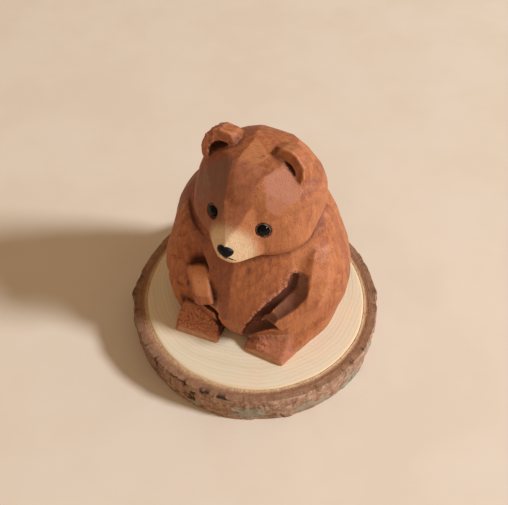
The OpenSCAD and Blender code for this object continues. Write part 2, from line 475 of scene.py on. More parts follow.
# each groove: points near the surface, half its width, its depth, and how round its lips are
GROOVES = [
    # between the left arm and the belly: deep, round-ended, with a steep belly side
    ([(18.0, -13.1, 36.6), (17.7, -14.8, 32.6), (15.2, -17.6, 29.4), (12.2, -20.3, 26.0),
      (10.2, -21.6, 22.6), (8.4, -22.6, 18.4), (6.6, -22.8, 13.6)],
     [1.3, 1.5, 1.6, 1.6, 1.5, 1.5, 1.6], [1.6, 2.2, 2.5, 2.7, 2.8, 2.8, 2.6], 0.7),
    # its shallow far side, which leans into the arm
    ([(19.3, -12.2, 35.8), (19.6, -14.3, 32.0), (17.6, -17.0, 28.4), (14.6, -20.2, 24.8),
      (12.0, -21.6, 21.4)], [2.2, 3.2, 3.3, 2.9, 1.8], [0.8, 1.7, 1.9, 1.7, 1.0], 0.25),
    # between the right arm and the belly
    ([(-11.6, -18.6, 31.0), (-9.0, -20.6, 27.4), (-6.0, -22.6, 23.5), (-6.6, -23.0, 18.1),
      (-6.2, -21.9, 10.0), (-5.6, -21.5, 5.0)], [1.1, 0.8, 0.8, 1.0, 1.3, 1.3],
     [2.6, 2.0, 2.0, 2.4, 2.6, 2.4], 0.4),
    # the hollow above the right paw
    ([(-16.0, -16.2, 36.5), (-13.4, -18.2, 31.6)], [2.8, 3.4], [1.6, 3.0], 1.2),
    # under the right paw, over the foot
    ([(-6.8, -22.4, 14.8), (-11.5, -22.0, 15.0), (-15.4, -20.8, 14.6)],
     [1.8, 2.0, 1.0], [2.6, 2.8, 1.2], 0.4),
]
# the grooves whose floors get painted shade, by their place in GROOVE_RODS
SHADED_GROOVES = (0, 2, 4, 5)
UNDERCUTS = [
    # between the feet, under the belly
    ([(-3.9, -22.5, -0.8), (0, -20.8, -0.6), (3.9, -21.8, -0.8)], [1.6, 2.2, 1.6], 0.4),
]
# the dark pocket between the belly, the left paw and the foot
POCKET = ([(4.6, -21.8, 6.5), (6.6, -22.0, 10.5), (9.6, -21.4, 14.6), (12.4, -20.8, 16.4),
           (16.2, -20.0, 14.6), (19.0, -19.4, 12.8)], [1.4, 2.4, 3.3, 3.2, 2.4, 1.0], 0.3)
# cuts along the jaw, on the bear's left and right
COLLARS = [([(8.0, -18.4, 44.6), (14.5, -15.0, 46.2), (19.5, -8.5, 48.5), (21.0, 0.0, 50.5)],
            [0.6, 0.9, 1.0, 0.6]),
           ([(-21.5, -6.5, 49.5), (-19.6, -9.4, 47.0), (-16.6, -12.0, 44.4), (-12.6, -14.2, 42.0)],
            [0.6, 1.1, 1.2, 0.6])]


# ---- meshing a distance field

def evaluate(field, p, cell=7.2, width=None):
    """Runs a field over points in small groups, so that far planes drop out."""
    key = np.floor(p / cell).astype(np.int64)
    code = (key[:, 0] * 4096 + key[:, 1]) * 4096 + key[:, 2]
    order = np.argsort(code, kind="stable")
    edges = np.flatnonzero(np.diff(code[order])) + 1
    out = np.empty(len(p) if width is None else (len(p), width))
    for group in np.split(order, edges):
        q = p[group]
        mid = (q.min(axis=0) + q.max(axis=0)) / 2
        radius = float(np.linalg.norm(q - mid, axis=1).max()) + 1e-6
        out[group] = field(q, mid, radius)
    return out


def surface_net(field, low, high, step):
    """Vertices and quads of the field's zero surface.

    The field is run at the middle of each block of lattice points, and then at every
    point of the blocks that the surface may cross.
    """
    low = np.asarray(low, float)
    block = 4
    blocks = np.ceil((np.asarray(high) - low) / (step * block)).astype(int)
    counts = blocks * block + 1
    mids = low + (np.argwhere(np.ones(blocks, bool)) + 0.5) * block * step
    coarse = evaluate(field, mids, 12.0).reshape(blocks)
    own_block = [np.minimum(np.arange(n) // block, b - 1) for n, b in zip(counts, blocks)]
    values = coarse[np.ix_(*own_block)].astype(np.float32)
    values[np.abs(values) < 0.01] = 0.01
    near = np.abs(coarse) < block * step * 0.87 + 0.9
    near = near.repeat(block, 0).repeat(block, 1).repeat(block, 2)
    wanted = np.zeros(counts, bool)
    for corner in ((0, 0, 0), (1, 0, 0), (0, 1, 0), (0, 0, 1), (1, 1, 1)):
        wanted[tuple(slice(c, c + n) for c, n in zip(corner, near.shape))] |= near
    values[wanted] = evaluate(field, low + np.argwhere(wanted) * step)

    # one vertex per crossed cell, at the mean of its crossings
    cells = counts - 1
    total = int(np.prod(cells))
    count = np.zeros(total)
    sums = np.zeros((3, total))
    crossings = []
    for axis in range(3):
        a = np.take(values, range(counts[axis] - 1), axis=axis)
        b = np.take(values, range(1, counts[axis]), axis=axis)
        hit = np.argwhere((a < 0) != (b < 0))
        va = a[tuple(hit.T)].astype(float)
        vb = b[tuple(hit.T)].astype(float)
        at = hit.astype(float)
        at[:, axis] += va / (va - vb)
        # the four cells round this lattice edge, in order
        around = np.repeat(hit[:, None], 4, axis=1)
        around[:, :, (axis + 1) % 3] += (-1, 0, 0, -1)
        around[:, :, (axis + 2) % 3] += (-1, -1, 0, 0)
        ok = ((around >= 0) & (around < cells)).all(axis=2)
        cell = (around[..., 0] * cells[1] + around[..., 1]) * cells[2] + around[..., 2]
        crossings.append((cell, ok.all(axis=1), va < 0))
        count += np.bincount(cell[ok], minlength=total)
        for k in range(3):
            weights = np.repeat(at[:, k:k + 1], 4, axis=1)[ok]
            sums[k] += np.bincount(cell[ok], weights=weights, minlength=total)
    used = np.flatnonzero(count)
    index = np.full(total, -1)
    index[used] = np.arange(len(used))
    vertices = low + step * (sums[:, used] / count[used]).T
    quads = []
    for cell, complete, inside in crossings:
        q = index[cell[complete]]
        outside = ~inside[complete]
        q[outside] = q[outside, ::-1]
        quads.append(q)
    return vertices, np.concatenate(quads)


def slope(field, p, h=0.12):
    """The directions in which the field grows fastest."""
    g = np.empty_like(p)
    for k in range(3):
        e = np.zeros(3)
        e[k] = h
        g[:, k] = evaluate(field, p + e) - evaluate(field, p - e)
    return g / np.maximum(np.linalg.norm(g, axis=1, keepdims=True), 1e-9)


def seat_on(field, p, rounds=2):
    """Moves points onto the field's surface, and gives the surface's directions there."""
    n = slope(field, p)
    for _ in range(rounds):
        p = p - evaluate(field, p)[:, None] * n * 0.9
    return p, slope(field, p)


def groove_rod(points, half, depth, round_off):
    """A rod along the body's surface that cuts a groove of this width and depth."""
    t = np.linspace(0, len(points) - 1, len(points) * 3 - 2)
    points = np.array([np.interp(t, range(len(points)), c) for c in np.array(points, float).T]).T
    half = np.interp(t, range(len(half)), half)
    depth = np.interp(t, range(len(depth)), depth)
    on, out = seat_on(body_mass, points, 3)
    radius = np.where(depth < half, (half ** 2 + depth ** 2) / (2 * depth), half)
    return on + out * (radius - depth)[:, None], radius, round_off


GROOVE_RODS = [groove_rod(*g) for g in GROOVES] + [POCKET]


# ---- Blender meshes

def linear(rgb):
    """A screen colour, 0 to 255, as linear light."""
    c = np.asarray(rgb, float) / 255
    return [float(v) for v in np.where(c <= 0.04045, c / 12.92, ((c + 0.055) / 1.055) ** 2.4)]


def looks_inward(vertices, quads):
    """Whether a closed mesh's faces look inward, from the sign of its volume."""
    a, b, c, d = (vertices[quads[:, k]] for k in range(4))
    return np.einsum("ij,ij->", a, np.cross(b, c) + np.cross(c, d)) <= 0


def outward(vertices, quads):
    """The quads of a closed mesh, flipped if they look inward."""
    return quads[:, ::-1] if looks_inward(vertices, quads) else quads


NO_TRIANGLES = np.zeros((0, 3), int)


def add_piece(name, vertices, quads, material, body, node, triangles=NO_TRIANGLES,
              marks=None):
    """A smooth mesh on a body, in place of a CAD node. The marks drive its material."""
    mesh = bpy.data.meshes.new(name)
    sizes = np.concatenate([np.full(len(quads), 4), np.full(len(triangles), 3)])
    loops = np.concatenate([quads.ravel(), triangles.ravel()]).astype(np.int32)
    mesh.vertices.add(len(vertices))
    mesh.vertices.foreach_set("co", (vertices * MM).astype(np.float32).ravel())
    mesh.loops.add(len(loops))
    mesh.loops.foreach_set("vertex_index", loops)
    mesh.polygons.add(len(sizes))
    starts = np.concatenate([[0], np.cumsum(sizes)[:-1]]).astype(np.int32)
    mesh.polygons.foreach_set("loop_start", starts)
    mesh.polygons.foreach_set("use_smooth", np.ones(len(sizes), bool))
    mesh.update(calc_edges=True)
    for key, values in (marks or {}).items():
        a = mesh.attributes.new(key, "FLOAT", "POINT")
        a.data.foreach_set("value", np.asarray(values, np.float32))
    mesh.validate()
    mesh.materials.append(material)
    piece = bpy.data.objects.new(name, mesh)
    bpy.context.scene.collection.objects.link(piece)
    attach(piece, body)
    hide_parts(node)
    return piece


def band(rings, joined=False):
    """Quads between consecutive rings of one grid of points, shape (rings, points, 3).

    Joined, the last ring also meets the first.
    """
    index = np.arange(rings.shape[0] * rings.shape[1]).reshape(rings.shape[:2])
    right = np.roll(index, -1, axis=1)
    up, up_right = np.roll(index, -1, axis=0), np.roll(right, -1, axis=0)
    quads = np.stack([index, right, up_right, up], -1)
    if not joined:
        quads = quads[:-1]
    return rings.reshape(-1, 3), quads.reshape(-1, 4)


def capped(rings):
    """A closed skin over rings, with a middle point at each end: vertices, quads, triangles."""
    vertices, quads = band(rings)
    r, m = rings.shape[:2]
    ends = np.array([rings[0].mean(axis=0), rings[-1].mean(axis=0)])
    k = np.arange(m)
    first = np.stack([np.full(m, r * m), (k + 1) % m, k], -1)
    last = np.stack([np.full(m, r * m + 1), (r - 1) * m + k, (r - 1) * m + (k + 1) % m], -1)
    v = np.concatenate([vertices, ends])
    triangles = np.concatenate([first, last])
    if looks_inward(v, quads):
        quads, triangles = quads[:, ::-1], triangles[:, ::-1]
    return v, quads, triangles


# ---- shader graphs

class Graph:
    """Short names for the shader nodes that these materials use."""

    def __init__(self, name):
        self.material = bpy.data.materials.new(name)
        self.material.use_nodes = True
        self.tree = self.material.node_tree
        self.tree.nodes.clear()
        self.shader = self.tree.nodes.new("ShaderNodeBsdfPrincipled")
        out = self.tree.nodes.new("ShaderNodeOutputMaterial")
        self.tree.links.new(self.shader.outputs[0], out.inputs["Surface"])

    def put(self, socket, value):
        """Links a socket to a node's output, or sets it. Colours are given as 0 to 255."""
        if isinstance(value, bpy.types.NodeSocket):
            self.tree.links.new(value, socket)
        elif socket.type == "RGBA":
            socket.default_value = [*linear(value), 1.0]
        else:
            socket.default_value = value

    def mm(self, scale=(1, 1, 1), shift=(0, 0, 0)):
        """The object's own coordinates in millimetres, scaled and shifted."""
        n = self.tree.nodes.new("ShaderNodeTexCoord")
        m = self.tree.nodes.new("ShaderNodeMapping")
        self.tree.links.new(n.outputs["Object"], m.inputs["Vector"])
        m.inputs["Scale"].default_value = [1000 * s for s in scale]
        m.inputs["Location"].default_value = shift
        return m.outputs["Vector"]

    def vec(self, kind, a, b=None):
        n = self.tree.nodes.new("ShaderNodeVectorMath")
        n.operation = kind
        self.put(n.inputs[0], a)
        if b is not None:
            self.put(n.inputs["Scale" if kind == "SCALE" else 1], b)
        return n.outputs["Value" if kind == "LENGTH" else "Vector"]

    def math(self, kind, a, b=None, clamp=False):
        n = self.tree.nodes.new("ShaderNodeMath")
        n.operation = kind
        n.use_clamp = clamp
        self.put(n.inputs[0], a)
        if b is not None:
            self.put(n.inputs[1], b)
        return n.outputs[0]

    def times(self, a, b):
        return self.math("MULTIPLY", a, b)

    def plus(self, a, b, clamp=False):
        return self.math("ADD", a, b, clamp)

    def noise(self, vector, scale=1.0, detail=2.0, rough=0.5, distortion=0.0, colour=False):
        n = self.tree.nodes.new("ShaderNodeTexNoise")
        self.put(n.inputs["Vector"], vector)
        n.inputs["Scale"].default_value = scale
        n.inputs["Detail"].default_value = detail
        n.inputs["Roughness"].default_value = rough
        n.inputs["Distortion"].default_value = distortion
        return n.outputs["Color" if colour else "Fac"]

    def between(self, value, low, high, to_low=0.0, to_high=1.0):
        """Eases from `to_low` to `to_high` as the value goes from low to high."""
        n = self.tree.nodes.new("ShaderNodeMapRange")
        n.interpolation_type = "SMOOTHSTEP"
        self.put(n.inputs["Value"], value)
        n.inputs["From Min"].default_value = low
        n.inputs["From Max"].default_value = high
        n.inputs["To Min"].default_value = to_low
        n.inputs["To Max"].default_value = to_high
        return n.outputs["Result"]

    def mark(self, name):
        """One of the piece's vertex marks."""
        n = self.tree.nodes.new("ShaderNodeAttribute")
        n.attribute_name = name
        return n.outputs["Fac"]

    def mix(self, amount, a, b):
        """Colour a, turning into colour b as the amount goes from 0 to 1."""
        n = self.tree.nodes.new("ShaderNodeMix")
        n.data_type = "RGBA"
        n.clamp_factor = True
        self.put(n.inputs["Factor"], amount)
        # the colour sockets share their names with the other types', so they go by number
        self.put(n.inputs[6], a)
        self.put(n.inputs[7], b)
        return n.outputs[2]

    def stain(self, amount, colour):
        """Lays a colour over the material's colour so far."""
        self.colour = self.mix(amount, self.colour, colour)

    def bump(self, height, distance_mm, strength=1.0):
        n = self.tree.nodes.new("ShaderNodeBump")
        n.inputs["Distance"].default_value = distance_mm * MM
        n.inputs["Strength"].default_value = strength
        self.put(n.inputs["Height"], height)
        return n.outputs["Normal"]

    def wavered(self, at, size, amount):
        """The coordinates, pushed about by up to half the amount in waves of this size."""
        push = self.vec("SUBTRACT", self.noise(at, size, 2, 0.5, colour=True), (0.5, 0.5, 0.5))
        return self.vec("ADD", at, self.vec("SCALE", push, amount))

    def finish(self, roughness, normal=None, **constants):
        self.put(self.shader.inputs["Base Color"], self.colour)
        self.put(self.shader.inputs["Roughness"], roughness)
        if normal is not None:
            self.put(self.shader.inputs["Normal"], normal)
        for key, value in constants.items():
            self.shader.inputs[key.replace("_", " ")].default_value = value
        return self.material


def carved_wood():
    g = Graph("carved_wood")
    at = g.mm()
    # year rings round a leaning pith that stands outside the block
    from_pith = g.vec("SUBTRACT", g.wavered(at, 0.045, 6.0), (-34.0, 31.0, 0.0))
    r = g.vec("LENGTH", g.vec("CROSS_PRODUCT", from_pith, list(unit((0.10, -0.06, 1.0)))))
    year = g.math("FRACT", g.math("DIVIDE", r, 2.35))
    late = g.times(g.between(year, 0.35, 0.93), g.between(year, 0.93, 1.0, 1, 0))
    strength = g.between(g.noise(at, 0.07, 2, 0.5), 0.35, 0.68, 0.08, 0.45)
    late = g.times(late, strength)

    streak = g.noise(g.mm((0.75, 0.75, 0.05)), 1.0, 5, 0.6, 0.15)
    fine = g.noise(g.mm((3.6, 3.6, 0.24), (5, 1, 9)), 1.0, 3, 0.6)
    pores = g.between(g.noise(g.mm((2.3, 2.3, 0.30), (31, 7, 2)), 1.0, 1.5, 0.5), 0.655, 0.72)
    flecks = g.between(g.noise(g.mm((0.95, 0.95, 0.26), (3, 17, 40)), 1.0, 2, 0.55), 0.69, 0.74)
    blotch = g.noise(at, 0.11, 3, 0.55)

    g.colour = g.mix(g.between(streak, 0.30, 0.72), (198, 118, 64), (150, 77, 38))
    g.stain(g.between(blotch, 0.42, 0.72, 0, 0.55), (186, 106, 66))
    g.stain(late, (128, 66, 36))
    g.stain(g.between(fine, 0.35, 0.7, 0, 0.55), (140, 72, 42))
    # the cut's tone: random for most cuts, and painted light and shade on cuts set to follow the
    # lamp
    tone = g.mark("tone")
    g.stain(g.between(tone, 0.45, 1.0, 0, 0.6), (208, 132, 80))
    g.stain(g.between(tone, 0.0, 0.55, 0.6, 0), (132, 70, 46))

    # the head's cuts show fine cross lines where the blade chattered
    chatter = g.noise(g.mm((0.25, 2.6, 2.6), (8, 8, 8)), 1.0, 2, 0.6)
    on_head = g.mark("head")
    lines = g.times(g.between(chatter, 0.5, 0.7, 0, 0.4), on_head)
    g.stain(lines, (122, 66, 44))
    cross = g.noise(g.mm((0.5, 4.5, 4.5), (1, 2, 3)), 1.0, 1, 0.5)

    # a lighter pink on cuts facing the lamp, the bridge and the feet's tops: partly the wood's own,
    # partly painted sheen
    g.stain(g.times(g.mark("pink_sheen"), g.between(blotch, 0.3, 0.6, 0.55, 0.85)), (180, 112, 82))
    g.stain(g.times(g.mark("grey"), 0.72), (128, 86, 64))

    pale_edge = g.plus(g.mark("pale"), g.between(streak, 0.25, 0.75, -0.10, 0.10))
    pale = g.between(pale_edge, 0.08, 0.92)
    cream = g.mix(g.between(fine, 0.25, 0.75), (240, 204, 160), (218, 172, 124))
    cream = g.mix(g.between(streak, 0.45, 0.8, 0, 0.4), cream, (214, 158, 108))
    g.stain(g.times(pale, 0.95), cream)

    rough = g.mark("rough")
    torn = g.noise(at, 1.15, 3, 0.65)
    torn_colour = g.mix(g.between(torn, 0.36, 0.56), (150, 80, 54), (224, 142, 102))
    g.stain(g.times(rough, 0.7), torn_colour)
    dark = g.math("MAXIMUM", g.times(pores, 0.55), g.times(flecks, 0.62))
    dark = g.times(dark, g.between(pale, 0, 1, 1.0, 0.25))
    dark = g.times(dark, g.between(on_head, 0, 1, 1.0, 0.35))
    g.stain(dark, (84, 42, 24))
    # sharp edges lightened: partly wear, partly a painted highlight
    edge = g.times(g.mark("edge"), g.between(fine, 0.2, 0.6, 0.25, 0.6))
    g.stain(edge, g.mix(pale, (216, 134, 84), (246, 216, 176)))
    # painted shade: hollows, creases and grooves darkened by how shut in they are
    crevice_shade = g.times(g.mark("crevice_shade"), 0.86)
    g.stain(crevice_shade, (70, 30, 16))
    dust = g.times(g.mark("stain"), g.between(torn, 0.35, 0.65, 0.25, 0.8))
    g.stain(dust, (98, 48, 32))

    dullness = g.between(g.noise(at, 0.5, 3, 0.6), 0.3, 0.7, 0.50, 0.64)
    dullness = g.plus(dullness, g.times(rough, 0.22))
    dullness = g.plus(dullness, g.times(crevice_shade, 0.2), clamp=True)
    height = g.plus(g.times(fine, 0.55), g.times(streak, 0.35))
    height = g.plus(height, g.times(g.times(cross, on_head), 0.35))
    height = g.math("SUBTRACT", height, g.times(dark, 0.8))
    height = g.plus(height, g.times(g.times(torn, rough), 2.4))
    return g.finish(dullness, g.bump(height, 0.2), Specular_IOR_Level=0.34)


def cut_wood():
    """Pale end grain with close, faint rings."""
    g = Graph("slice_wood")
    at = g.mm()
    from_pith = g.vec("SUBTRACT", g.wavered(at, 0.05, 3.4), (-3.5, 5.0, 0.0))
    r = g.vec("LENGTH", g.vec("MULTIPLY", from_pith, (1, 1, 0)))
    wander = g.noise(at, 0.9, 2, 0.5)
    year = g.math("FRACT", g.plus(g.math("DIVIDE", r, 1.45), g.times(wander, 0.16)))
    line = g.times(g.between(year, 0.5, 0.93), g.between(year, 0.93, 1.0, 1, 0))
    band_tone = g.noise(g.vec("MULTIPLY", r, (0.23, 0.0, 0.0)), 1.0, 3, 0.6)
    pores = g.noise(at, 2.7, 2, 0.6)
    blotch = g.noise(at, 0.06, 3, 0.55)
    g.colour = g.mix(g.between(band_tone, 0.35, 0.65), (232, 212, 178), (224, 201, 164))
    g.stain(g.between(blotch, 0.4, 0.7, 0, 0.5), (236, 204, 164))
    g.stain(g.times(line, 0.20), (205, 168, 128))
    g.stain(g.between(pores, 0.5, 0.75, 0, 0.35), (210, 176, 138))
    rim = g.mark("rim")
    g.stain(g.between(rim, 0.0, 1.0, 0, 0.75), (226, 190, 142))
    saw = g.noise(g.mm((0.06, 2.4, 1.0), (2, 3, 4)), 1.0, 2, 0.5)
    g.stain(g.between(saw, 0.5, 0.8, 0, 0.16), (206, 172, 134))
    height = g.plus(g.times(pores, 0.5), g.times(saw, 0.6))
    height = g.math("SUBTRACT", height, g.times(line, 0.35))
    return g.finish(g.between(pores, 0.3, 0.7, 0.62, 0.74), g.bump(height, 0.08, 0.7),
                    Specular_IOR_Level=0.3)


def inner_bark():
    g = Graph("inner_bark")
    at = g.mm()
    fibre = g.noise(g.mm((1.5, 1.5, 0.2)), 1.0, 3, 0.6)
    crumb = g.noise(at, 1.6, 3, 0.65)
    out = g.mark("out")
    g.colour = g.mix(g.between(out, 0.05, 0.7), (212, 170, 124), (162, 114, 80))
    g.stain(g.between(crumb, 0.42, 0.7, 0, 0.6), (124, 74, 44))
    g.stain(g.between(fibre, 0.5, 0.75, 0, 0.5), (184, 130, 88))
    height = g.plus(crumb, g.times(fibre, 0.7))
    return g.finish(0.78, g.bump(height, 0.25, 0.8), Specular_IOR_Level=0.25)


def outer_bark():
    g = Graph("outer_bark")
    at = g.mm()
    big = g.noise(at, 0.10, 3, 0.6)
    mid = g.noise(at, 0.42, 4, 0.6)
    fine = g.noise(at, 2.2, 3, 0.65)
    upright = g.noise(g.mm((0.9, 0.9, 0.16), (4, 4, 1)), 1.0, 3, 0.6)
    g.colour = g.mix(g.between(mid, 0.36, 0.64), (144, 106, 78), (196, 154, 122))
    g.stain(g.between(upright, 0.42, 0.7, 0, 0.55), (152, 104, 74))
    g.stain(g.between(big, 0.45, 0.65, 0, 0.5), (158, 112, 84))
    g.stain(g.between(fine, 0.48, 0.75, 0, 0.45), (96, 60, 42))
    lichen = g.plus(g.mark("lichen"), g.between(mid, 0.3, 0.7, -0.30, 0.30))
    lichen = g.between(lichen, 0.45, 0.62)
    lichen_colour = g.mix(g.between(fine, 0.3, 0.7), (172, 160, 134), (126, 120, 96))
    g.stain(g.times(lichen, 0.85), lichen_colour)
    g.stain(g.times(g.mark("worn"), 0.5), (194, 150, 122))
    g.stain(g.times(g.mark("rim"), 0.65), (140, 94, 60))
    # darker bark: the knurls, flake lips and low plates, and painted shade on the side away from
    # the lamp
    g.stain(g.mark("dark"), (74, 44, 28))
    crack = g.times(g.mark("crack"), 0.9)
    g.stain(crack, (46, 25, 15))
    height = g.plus(g.times(mid, 0.8), g.times(fine, 0.5))
    height = g.plus(height, g.times(upright, 0.4))
    return g.finish(g.between(fine, 0.3, 0.7, 0.72, 0.9), g.bump(height, 0.35, 0.9),
                    Specular_IOR_Level=0.25)


def eye_bead():
    g = Graph("eye_bead")
    smudge = g.noise(g.mm(), 1.3, 2, 0.5)
    g.colour = g.mix(g.between(smudge, 0.35, 0.7), (5, 4, 4), (14, 10, 9))
    return g.finish(g.between(smudge, 0.3, 0.7, 0.05, 0.09), IOR=1.22, Specular_IOR_Level=0.5)


def eye_cement():
    g = Graph("eye_cement")
    grain = g.noise(g.mm(), 2.6, 3, 0.6)
    g.colour = g.mix(g.between(grain, 0.4, 0.62), (54, 36, 29), (126, 100, 84))
    return g.finish(g.between(grain, 0.3, 0.7, 0.28, 0.5), g.bump(grain, 0.1, 0.8),
                    Specular_IOR_Level=0.5)


def black_lacquer(name):
    g = Graph(name)
    brush = g.noise(g.mm((0.8, 1.0, 3.0)), 1.0, 3, 0.6)
    grain = g.noise(g.mm(), 3.0, 2, 0.6)
    g.colour = g.mix(g.between(brush, 0.4, 0.75), (10, 8, 8), (28, 19, 16))
    height = g.plus(g.times(brush, 0.6), g.times(grain, 0.4))
    return g.finish(g.between(grain, 0.3, 0.7, 0.34, 0.5), g.bump(height, 0.08, 0.8),
                    Specular_IOR_Level=0.15)


# ---- the carving

MESH_STEP = 0.485
skin, skin_quads = surface_net(carving, (-35, -31, -0.7), (35, 33, 80.5), MESH_STEP)
skin, facing = seat_on(carving, skin)

in_head = (skin - HEAD_AT) @ HEAD_TURN
x, y, z = in_head.T
marks = evaluate(cut_marks, skin, width=4)
mass = np.round(marks[:, 3]).astype(int)
on_face = np.isin(mass, (CROWN, FACE))
on_feet = np.isin(mass, FEET_MASSES)
# how shut in each point is, felt at three distances, for the painted shade in hollows, and how
# sharp an edge it is on
closed = [1 - evaluate(carving, skin + facing * out) / out for out in (1.2, 2.8, 6.0)]
sharp = 1 + evaluate(carving, skin - facing * 0.9) / 0.9

from_tip = np.linalg.norm((in_head - [0.3, -21.5, -5.2]) * [1.0, 1.0, 1.12], axis=1)
pale = (1 - ramp(from_tip, 4.5, 13.5)) * (y <= -9) * on_face

# the bridge of the nose runs back to the crown between two ridges
left_ridge = np.interp(-y, [5, 15.3, 19.4], [-5.6, -3.9, -3.1])
right_ridge = np.interp(-y, [6, 15.2, 20.3], [4.0, 2.9, 0.6])
brow = on_face & (y < -4.5)
bridge = brow & (x > left_ridge) & (x < right_ridge)
over_right_eye = brow & (x < left_ridge)
over_left_eye = brow & (x > right_ridge) & (z < 9) & (marks[:, 1] < 0.3)
tone = marks[:, 0].copy()
tone[bridge] = 0.42
tone[bridge & (x > (left_ridge + right_ridge) / 2)] = 0.55
# painted shade over the right eye, whose cuts face away from the lamp, and painted light over the
# left eye
tone[over_right_eye] = 0.15
tone[over_left_eye] = np.maximum(tone[over_left_eye], 0.7)
grey = marks[:, 2].copy()
grey[over_right_eye & (z > 4.6 + 0.22 * x)] = 0.7
grey[over_right_eye & (z > 8.6 + 0.1 * x) & (x > -13.5)] = 1.0

# torn grain: on the feet, on the right ear, and along the belly beside the left arm's groove
groove = path_rod(skin, GROOVE_RODS[0][0], GROOVE_RODS[0][1] + 0.2)
belly_side = skin[:, 0] < np.interp(skin[:, 2], [22.6, 26, 29.4, 32.6, 36.6],
                                   [9.9, 11.9, 14.9, 17.4, 18.0])
rough = np.zeros(len(skin))
rough[on_feet & (facing[:, 2] > 0.4)] = 1
rough *= ramp(skin[:, 2], 2.6, 3.4) * (1 - 0.7 * ramp(skin[:, 0], 11.5, 14.0))
rough = np.maximum(rough, (mass == RIGHT_EAR) * ramp(facing[:, 2], 0.1, 0.5)
                   * ramp(-x, 11.5, 13.5))
rough = np.maximum(rough, (1 - ramp(groove, 0.6, 2.2)) * ramp(groove, -0.5, 0.1) * belly_side)

# painted shade on the floors of the deep grooves, the pocket and the undercut between the feet
deep = [GROOVE_RODS[k] for k in SHADED_GROOVES] + UNDERCUTS
deep = np.minimum.reduce([path_rod(skin, points, radii) for points, radii, _ in deep])
deep = 0.55 * (1 - ramp(deep, 0.1, 0.7)) * ~(on_feet | (mass == RIGHT_PAW))
# the feet's front faces, lightened with cream below: painted light
toes = on_feet * ramp(-facing[:, 1], 0.80, 0.88) * (1 - rough)
# the groove's far side, which faces away from the lamp: painted shade, dark and greyer
shaded_far_side = 1 - ramp(path_rod(skin, GROOVE_RODS[1][0], GROOVE_RODS[1][1]), 0.12, 0.3)
shaded_far_side *= 1 - belly_side
collar = np.minimum(*[path_rod(skin, points, radii) for points, radii in COLLARS])
chest_spot = np.linalg.norm((skin - [4.0, -17.8, 37.6]) * [1, 0.5, 0.55], axis=1)
stain = np.maximum.reduce([(1 - ramp(collar, 0.3, 3.2)) * 0.6, rough * 0.25,
                           (1 - ramp(chest_spot, 0.3, 1.8)) * 0.9])

eye_gap = np.minimum(*[np.linalg.norm(skin - EYES[side], axis=1) - 2.6 for side in (-1, 1)])
wood_marks = {
    # tone: dark on the groove's far side, painted shade
    "tone": tone * (1 - shaded_far_side),
    # pink: partly the wood's own, partly painted sheen on the bridge and the feet's tops
    "pink_sheen": np.maximum.reduce([marks[:, 1], 0.45 * bridge, 0.7 * on_feet * (1 - rough)]),
    # grey: the wood's own grey over the right eye, and painted shade on the groove's far side
    "grey": np.maximum(grey, 0.7 * shaded_far_side),
    "head": np.isin(mass, HEAD_MASSES),
    # pale: the muzzle's cream paint, and painted light on the feet's front faces
    "pale": np.maximum(pale, 0.36 * toes),
    "rough": rough,
    "stain": stain,
    # sharp edges: wear and a painted highlight
    "edge": ramp(sharp, 0.10, 0.5) * ramp(eye_gap, 0.2, 0.9) * (1 - rough),
    # painted shade in hollows and along the deep grooves
    "crevice_shade": np.clip(0.5 * closed[0] + 0.9 * closed[1] + 1.1 * closed[2] - 0.3 + deep, 0, 1),
}
# a fine relief: torn grain, a slight waver of the cuts, and crumbs in the collar
lift = rough * 0.36 * layered(skin, 1.0, 2, 5) + 0.05 * noise(skin, 3.2, 6)
lift -= 0.10 * (1 - ramp(collar, 0.0, 2.4)) * np.maximum(layered(skin, 1.1, 2, 9), 0)
lift *= ramp(skin[:, 2], 0.1, 0.8)
skin = skin + facing * lift[:, None]
add_piece("carved_bear", skin + BEAR_AT, outward(skin, skin_quads), carved_wood(),
          "bear", "bear_carving", marks=wood_marks)


# ---- eyes

def round_axis(axis, a):
    """Directions square to an axis, at the angles a round it."""
    side = unit(np.cross(axis, [0, 0, 1.0]))
    other = np.cross(axis, side)
    return np.cos(a)[:, None] * side + np.sin(a)[:, None] * other


BEAD_R = 1.92
BEAD_POINTS = 56
RING_R = 2.03
RING_POINTS = 72
SECTION_POINTS = 12
section = np.linspace(0, 2 * np.pi, SECTION_POINTS, endpoint=False)

for side, word in ((-1, "right"), (1, "left")):
    axis = eye_axis(side)
    # the bead, then its neck and stem: distance along the axis, and radius
    turn = np.radians(np.linspace(1.5, 158, 34))
    profile = [(BEAD_R * math.cos(t) * 0.97, BEAD_R * math.sin(t)) for t in turn]
    profile += [(-2.15, 0.7), (-2.6, 0.66), (-3.6, 0.66), (-4.6, 0.62), (-4.75, 0.5)]
    spokes = round_axis(axis, np.linspace(0, 2 * np.pi, BEAD_POINTS, endpoint=False))
    rings = np.array([EYES[side] - 0.9 * axis + axis * along + radius * spokes
                      for along, radius in profile])
    v, q, t = capped(rings)
    add_piece(word + "_eye_bead", v + BEAR_AT, q, eye_bead(), "bear", word + "_eye",
              triangles=t)

    # the bead of cement round it, of uneven width
    a = np.linspace(0, 2 * np.pi, RING_POINTS, endpoint=False)
    fat = (0.17 + 0.04 * np.sin(3 * a + side) + 0.05 * np.sin(7 * a + 2))[:, None, None]
    rise = 0.02 + 0.8 * fat * np.sin(section)[:, None]
    reach_out = RING_R + fat * np.cos(section)[:, None]
    v, q = band(EYES[side] + rise * axis + reach_out * round_axis(axis, a)[:, None], joined=True)
    v = v + 0.06 * three(noise, v, 0.7, 40)
    add_piece(word + "_eye_ring", v + BEAR_AT, outward(v, q), eye_cement(), "bear",
              word + "_eye_cement")


# ---- nose and mouth

